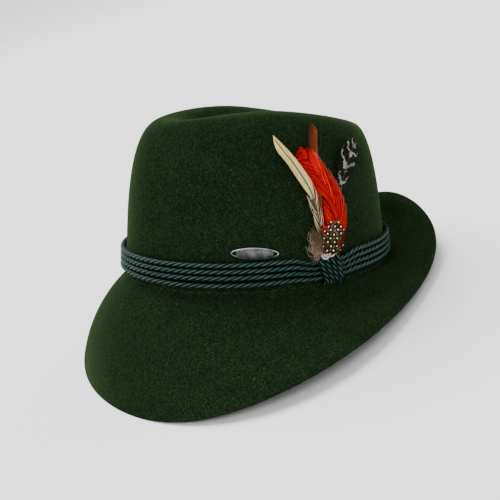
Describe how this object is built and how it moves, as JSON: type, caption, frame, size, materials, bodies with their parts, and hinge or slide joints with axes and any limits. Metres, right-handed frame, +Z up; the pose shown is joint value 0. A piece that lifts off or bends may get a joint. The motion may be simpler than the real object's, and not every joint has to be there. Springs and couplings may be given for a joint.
{
  "type": "tyrolean hat",
  "caption": "Felt hat with a dented crown, brim snapped down in front and rolled up at the back, bands of twisted cord, a bare oval badge and a plume of feathers.",
  "frame": {"origin": "middle of the hat's bounding box, on the surface it rests on", "axes": "+Z up as it rests on a table, -Y towards the front of the brim, +X towards the wearer's left, where the plume is"},
  "size_m": [0.2872, 0.2804, 0.1587],
  "materials": {
    "felt": "dark green wool felt with a short nap",
    "cord": "twisted cord with a silky sheen, dark teal green",
    "badge_metal": "antique silver, dull, bright along its rim",
    "barred_feather": "black barbs with white marks",
    "brown_feather": "rust brown barbs, silky",
    "red_feather": "bright red dyed barbs",
    "cream_feather": "cream barbs on a brown shaft, silky",
    "beige_down": "soft beige brown down",
    "spotted_feather": "olive brown barbs with cream spots ringed in black"
  },
  "bodies": {
    "root": {"felt_body": "felt", "cord_row_1": "cord", "cord_row_2": "cord", "cord_row_3": "cord", "cord_row_4": "cord", "cord_knot": "cord", "badge_plate": "badge_metal", "feather_barred": "barred_feather", "feather_brown": "brown_feather", "feather_red": "red_feather", "feather_cream": "cream_feather", "feather_down": "beige_down", "feather_spotted": "spotted_feather"}
  },
  "joints": []
}
